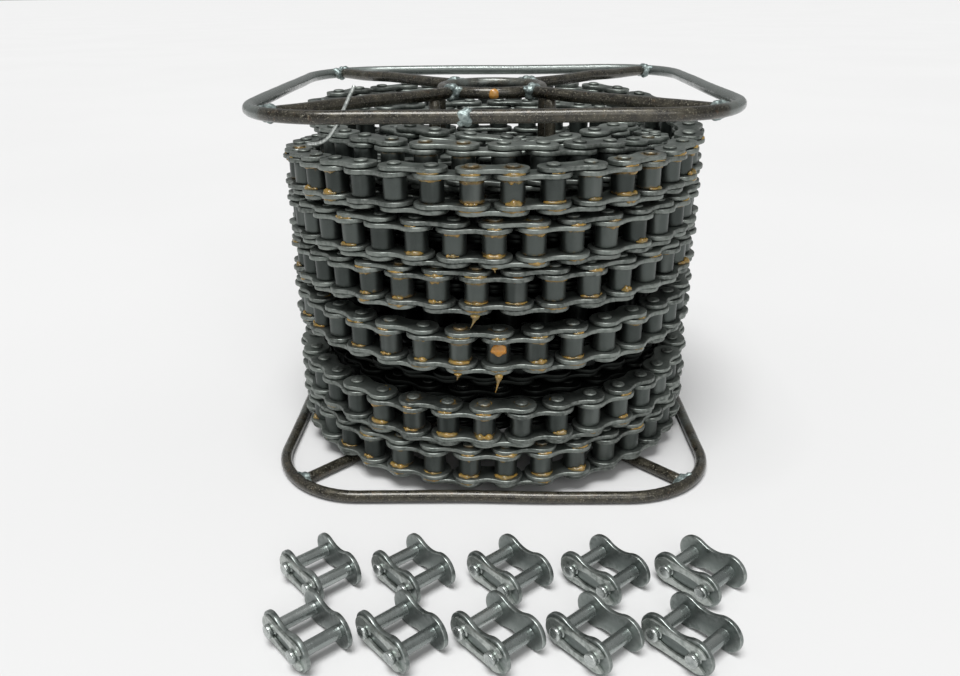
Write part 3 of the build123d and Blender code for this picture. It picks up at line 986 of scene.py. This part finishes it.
# ------------------------------------------------------------- tie wire
def spline(pts, n):
    """Points along a smooth curve through pts."""
    P = [np.array(p, float) for p in pts]
    P = [2 * P[0] - P[1]] + P + [2 * P[-1] - P[-2]]
    out = []
    for i in range(1, len(P) - 2):
        for k in range(n):
            t = k / n
            a, b, c, d = P[i - 1:i + 3]
            out.append(0.5 * (2 * b + (c - a) * t + (2 * a - 5 * b + 4 * c - d) * t * t + (3 * b - a - 3 * c + d) * t ** 3))
    out.append(P[-2])
    return [tuple(p) for p in out]


WIRE = [(-43.7, -55.0, 139.3), (-47.9, -57.2, 131), (-53, -56.6, 122.6), (-58, -50.5, 120.4), (-62.5, -43, 119)]
s = Soup()
add_tone(s, sweep(spline([(-43.7, -55.0, 139.3), (-45.6, -56.2, 135.6), (-47.9, -57.2, 131), (-50.3, -57.6, 126.6), (-53.4, -56.2, 122.9),
                          (-57.6, -51.0, 120.6), (-62.5, -43, 119)], 8), WIRE_D / 2, 12, False, 0.5))
s.build("look_tie_wire", M_GALV, "reel", ["tie_wire"], "galvanised_wire")

print("chain and reel built", len(PTS))


# ==================================================== spare connecting links
def clip_tmpl():
    """Spring clip: round closed nose at -X, two arms, hooked split ends at +X."""
    z0 = OUTER_IN + PLATE_T + CLIP_GAP
    O, I = [], []
    w = GROOVE_D / 2 + 0.05
    # upper half from the split tip to the nose's middle; the lower half mirrors it
    tip = math.radians(36)
    nA, nB, nC = 10, 10, 12
    for i in range(nA + 1):
        a = tip + (math.pi / 2 - tip) * i / nA
        O.append((6.65 + 4.1 * math.cos(a), 4.1 * math.sin(a)))
        b = math.radians(30) + math.radians(100) * i / nA
        I.append((H + w * math.cos(b), w * math.sin(b)))
    for i in range(1, nB + 1):
        t = i / nB
        O.append((6.65 - 13.3 * t, 4.1 - 0.25 * math.sin(math.pi * t)))
        x0 = H + w * math.cos(math.radians(130))
        y0 = w * math.sin(math.radians(130))
        x1, y1 = -H + w * math.cos(math.radians(62)), w * math.sin(math.radians(62))
        yy = y0 + (y1 - y0) * t + 0.72 * math.sin(math.pi * min(1, t * 1.15)) ** 0.6 * (1 if t < 0.87 else 1 - (t - 0.87) / 0.13)
        I.append((x0 + (x1 - x0) * t, yy))
    for i in range(1, nC + 1):
        a = math.pi / 2 + math.pi / 2 * i / nC
        O.append((-6.65 + 4.1 * math.cos(a), 4.1 * math.sin(a)))
        b = math.radians(62) + math.radians(118) * i / nC
        I.append((-H + w * math.cos(b), w * math.sin(b)))
    O += [(x, -y) for x, y in reversed(O[:-1])]
    I += [(x, -y) for x, y in reversed(I[:-1])]
    c, T = 0.13, CLIP_T
    v, edge, core, faces = [], [], [], []
    for (ox, oy), (ix, iy) in zip(O, I):
        o, i = np.array([ox, oy]), np.array([ix, iy])
        d = (i - o) / np.linalg.norm(i - o) * c
        for p, z in ((o, c), (o, T - c), (o + d, T), (i - d, T), (i, T - c), (i, c), (i - d, 0), (o + d, 0)):
            v.append((p[0], p[1], z0 + z))
        edge += [.8, 1, .8, .8, 1, .6, .3, .3]
        core += [0] * 8
    n = len(O)
    for k in range(n - 1):
        for j in range(8):
            m = (j + 1) % 8
            faces.append((k * 8 + j, k * 8 + m, (k + 1) * 8 + m, (k + 1) * 8 + j))
    for k, rev in ((0, False), ((n - 1) * 8, True)):
        for f in ((0, 1, 2, 3), (0, 3, 4, 7), (4, 5, 6, 7)):
            g = tuple(k + x for x in f)
            faces.append(tuple(reversed(g)) if not rev else g)
    flat = [True] * len(faces)
    return Tmpl(v, faces, flat, edge, core)


def conn_pin_tmpl(seed):
    zc = OUTER_IN + PLATE_T
    r, g, e = PIN_D / 2, GROOVE_D / 2, CONN_PIN_END
    prof = [(0, -8.28, .5, 1), (.8, -8.26, .5, 1), (1.5, -8.16, .6, 1), (2.05, -7.9, 1, 1), (2.22, -7.6, .8, 1), (2.16, -7.24, .3, 1),
            (r, -7.12, 0, 1), (r, -5.0, 0, .5), (r, 0, 0, 0), (r, 5.0, 0, .5), (r, zc, .3, 1), (r - .05, zc + .04, .4, 1), (g, zc + .1, 0, 1), (g, zc + .82, 0, 1),
            (r - .08, zc + .9, .8, 1), (r, zc + .98, 1, 1), (r, e - .42, .5, .6), (r - .12, e - .16, 1, .6), (r - .42, e - .02, .9, .5), (.8, e, .5, .5), (0, e, .5, .5)]
    t = revolve(prof, 32)
    return t


PL = dict(nl=26, nw=6, nm=2, nb=3)
C_BACK = plate_tmpl(OUTER_H, OUTER_WAIST, PIN_D / 2, -OUTER_IN - PLATE_T, **PL)
C_COVER = plate_tmpl(OUTER_H, OUTER_WAIST, PIN_D / 2, OUTER_IN, **PL)
C_CLIP = clip_tmpl()
C_PIN = conn_pin_tmpl(1)
ALPHA = math.radians(48.0)
ROW_A = [(-52.2, -122.5), (-24.0, -122.5), (5.2, -122.5), (33.8, -122.5), (62.2, -122.5)]
ROW_B = [(-50.8, -149.2), (-24.9, -149.2), (1.4, -149.2), (27.6, -149.2), (53.8, -149.2)]
for no, (x, y) in enumerate(ROW_A + ROW_B, 1):
    u = np.array([math.cos(ALPHA), -math.sin(ALPHA), 0])
    v = np.array([-math.sin(ALPHA), -math.cos(ALPHA), 0])
    R = np.column_stack([u, np.cross(v, u), v])
    c = np.array([x, y, OUTER_H / 2 + 0.02])
    name = f"connecting_link_{no:02d}"
    s = Soup()
    s.add(C_BACK, R, c, tone=RND.random())
    s.add(C_COVER, R, c, tone=RND.random())
    o = s.build(f"look_{name}", M_CONN, name, [name], "connecting_steel")
    s = Soup()
    for sx in (-1, 1):
        s.add(C_PIN, R, c + u * H * sx, tone=RND.random())
    p = s.build(f"look_{name}_pins", M_CONN_PIN, name, (), "connecting_steel")
    s = Soup()
    s.add(C_CLIP, R, c, tone=RND.random())
    if no <= 2:
        s.build(f"look_{name}_clip", M_CLIP, name, [name + "_clip"], "clip_steel")
    else:
        s.build(f"look_{name}_clip", M_CLIP, name, (), "clip_steel")


# ====================================================================== grease
def arc_collar(pin, n, out, z_off, R, minor, half_deg, seed, flatz=1.0, tilt=0.0):
    """A bead of grease that follows part of a circle round a pin, thin at its ends."""
    side = np.cross(n, out)
    K = 13
    pts, rad = [], []
    for i in range(K + 1):
        s = i / K
        a = math.radians(half_deg) * (2 * s - 1)
        pts.append(np.array(pin) + n * (z_off + 0.12 * noise.noise(Vector((s * 5, seed, 1)))) + (out * math.cos(a) + side * math.sin(a)) * R)
        rad.append(max(0.05, 1.6 * minor * math.sin(math.pi * min(max(s, 0.03), 0.97)) ** 0.55 * (0.8 + 1.1 * noise.noise(Vector((s * 4.2, seed * 1.7, 3))))))
    return sweep(pts, lambda i, a: rad[i], 8, False, 0.5, round_end=0.6)


g_soup, g_deep = Soup(), Soup()
gr = random.Random(77)
n_col = 0
for i in range(TAIL_LINKS + 2, COUNT):
    p = np.array(PTS[i])
    r = math.hypot(p[0], p[1])
    a = az_of(p)
    if r < 70 or abs(a) > 75:
        continue
    k = GREASE_AT[i]
    Rl, _ = link_axes(PTS[min(i + 1, COUNT)], PTS[i - 1])
    n = Rl[:, 2]
    out = unit(np.array([p[0], p[1], 0]) - n * (n @ np.array([p[0], p[1], 0])))
    if gr.random() < k * 1.15:      # under the upper inner plate, on the roller
        add_tone(g_soup, arc_collar(p, n, out, 3.62, 4.05, gr.uniform(0.30, 0.72), gr.uniform(30, 80), gr.uniform(0, 99)))
        n_col += 1
    if gr.random() < k * 1.1:       # on the lower inner plate, at the roller's foot
        add_tone(g_soup, arc_collar(p, n, out, -3.60, 4.15, gr.uniform(0.35, 0.80), gr.uniform(30, 75), gr.uniform(0, 99)))
        n_col += 1
    if gr.random() < k * 1.2:       # between the upper plates
        add_tone(g_soup, arc_collar(p, n, out, 5.62, 5.15, gr.uniform(0.22, 0.46), gr.uniform(22, 50), gr.uniform(0, 99)))
        n_col += 1
    if gr.random() < k * 0.9:       # between the lower plates
        add_tone(g_soup, arc_collar(p, n, out, -5.62, 5.15, gr.uniform(0.22, 0.5), gr.uniform(22, 50), gr.uniform(0, 99)))
        n_col += 1
    if gr.random() < k * 0.35:      # smear round the rivet
        add_tone(g_soup, arc_collar(p, n, -out * 1.0, OUTER_IN + PLATE_T + 0.06, 2.5, gr.uniform(0.12, 0.26), gr.uniform(60, 150), gr.uniform(0, 99)))


# ------------------------------------------------------------------ camera
YAW, PITCH_DOWN, ROLL = math.radians(1.631), math.radians(22.272), math.radians(-0.661)
cam = bpy.data.objects.new("camera", bpy.data.cameras.new("camera"))
scene.collection.objects.link(cam)
right0 = np.array([math.cos(YAW), math.sin(YAW), 0])
ahead = np.array([-math.sin(YAW) * math.cos(PITCH_DOWN), math.cos(YAW) * math.cos(PITCH_DOWN), -math.sin(PITCH_DOWN)])
up0 = np.cross(right0, ahead)
right = math.cos(ROLL) * right0 + math.sin(ROLL) * up0
upv = math.cos(ROLL) * up0 - math.sin(ROLL) * right0
CAM = np.array([-0.309, -330.15, 166.603])
m = Matrix(((right[0], upv[0], -ahead[0], CAM[0] * MM), (right[1], upv[1], -ahead[1], CAM[1] * MM),
            (right[2], upv[2], -ahead[2], CAM[2] * MM), (0, 0, 0, 1)))
cam.matrix_world = m
cam.data.sensor_width = 36
cam.data.lens = 838.378 / 960 * 36
cam.data.shift_x = (480 - 469.344) / 960
cam.data.shift_y = -(338 - 334.482) / 960
cam.data.clip_start, cam.data.clip_end = 0.01, 50
scene.camera = cam


# ------------------------------------------------- larger drops and drips
def drop_from(p, length, r0, lean, seed):
    """A hanging drip: a swollen head, then a fine tail."""
    pts, rad = [], []
    for i in range(13):
        s = i / 12
        pts.append(np.array(p) + np.array([lean[0] * s * s, lean[1] * s * s, -length * s]))
        rad.append(r0 * ((1 - s) ** 1.6 * (0.9 + 0.5 * math.sin(math.pi * min(1, s * 2.2))) + 0.07))
    return sweep(pts, lambda i, a: rad[i], 10, False, 0.5, round_end=0.5)


def near_pin(az, z):
    """The outer layer's pin nearest to an azimuth and a height."""
    best = min((j for j in range(TAIL_LINKS + 2, COUNT) if math.hypot(*PTS[j][:2]) > 70),
               key=lambda j: ((az_of(PTS[j]) - az) * 1.29) ** 2 + (PTS[j][2] - z) ** 2)
    return np.array(PTS[best])


def outward(p):
    return unit(np.array([p[0], p[1], 0.0]))


for az, z, length, r0, lean in ((-1, 77.2, 4.6, 1.5, (-1.6, -0.6)), (-11, 56.2, 2.6, 1.3, (-0.4, -0.2)), (-2, 56.2, 6.8, 1.25, (-1.2, -0.4)),
                                (2, 92.9, 1.8, 1.0, (0.2, 0))):
    p = near_pin(az, z)
    o = outward(p)
    add_tone(g_soup, drop_from(p + o * 4.9 + np.array([0, 0, -6.6]), length, r0, lean, az))
for az, z, dz, rad in ((-2, 56.2, 1.6, (2.5, 1.0, 2.3)), (10, 77.2, 4.6, (2.6, 1.2, 1.0)), (-5, 28.6, 5.2, (2.4, 1.2, 1.1)), (-4, 92.9, 5.0, (2.3, 1.1, .9))):
    p = near_pin(az, z)
    o = outward(p)
    R = np.column_stack([np.cross([0, 0, 1.0], o), o, [0, 0, 1.0]])
    add_tone(g_deep, blob(p + o * (3.9 if dz < 3 else 4.4) + np.array([0, 0, dz]), rad, az * 3.1 + z, R, amp=0.2))
# the drop on the front of the upper hub ring
add_tone(g_deep, blob((0.6, -HUB_R - 1.35, TOP_Z - 0.1), (2.0, 1.25, 1.75), 3.3, amp=0.12))
g_soup.build("look_grease_beads", M_GREASE, "reel")
g_deep.build("look_grease_drops", M_GREASE_DEEP, "reel")
print("grease beads", n_col)


# ================================================================= the studio
def floor_material():
    N = Nodes("studio_floor")
    N.link(N.mix(N.rng(N.noise(3.0, 2), 0.3, 0.7), (0.624, 0.624, 0.624), (0.636, 0.636, 0.636)), N.b.inputs["Base Color"])
    N.b.inputs["Roughness"].default_value = 0.9
    N.b.inputs["Specular IOR Level"].default_value = 0.1
    return N.m


fm = bpy.data.meshes.new("floor")
fm.from_pydata([(-40, -40, 0), (40, -40, 0), (40, 40, 0), (-40, 40, 0)], [], [(0, 1, 2, 3)])
fm.materials.append(floor_material())
floor = bpy.data.objects.new("floor", fm)
scene.collection.objects.link(floor)
floor.location = (0, 0, -0.00002)

world = bpy.data.worlds.new("studio")
world.use_nodes = True
world.node_tree.nodes["Background"].inputs["Color"].default_value = (0.885, 0.89, 0.885, 1)
world.node_tree.nodes["Background"].inputs["Strength"].default_value = 0.36
scene.world = world


def soft_sun(name, azimuth, elevation, strength, spread):
    """A wide soft sun: azimuth 0 stands in front of the reel, elevation from the floor."""
    ld = bpy.data.lights.new(name, "SUN")
    ld.energy = strength
    ld.angle = math.radians(spread)
    o = bpy.data.objects.new(name, ld)
    scene.collection.objects.link(o)
    a, e = math.radians(azimuth), math.radians(elevation)
    towards = Vector((math.sin(a) * math.cos(e), -math.cos(a) * math.cos(e), math.sin(e)))
    o.rotation_mode = "QUATERNION"
    o.rotation_quaternion = (-towards).to_track_quat("-Z", "Y")
    return o


soft_sun("key_above", -20, 74, 3.3, 32)
soft_sun("front_fill", 18, 30, 0.75, 40)
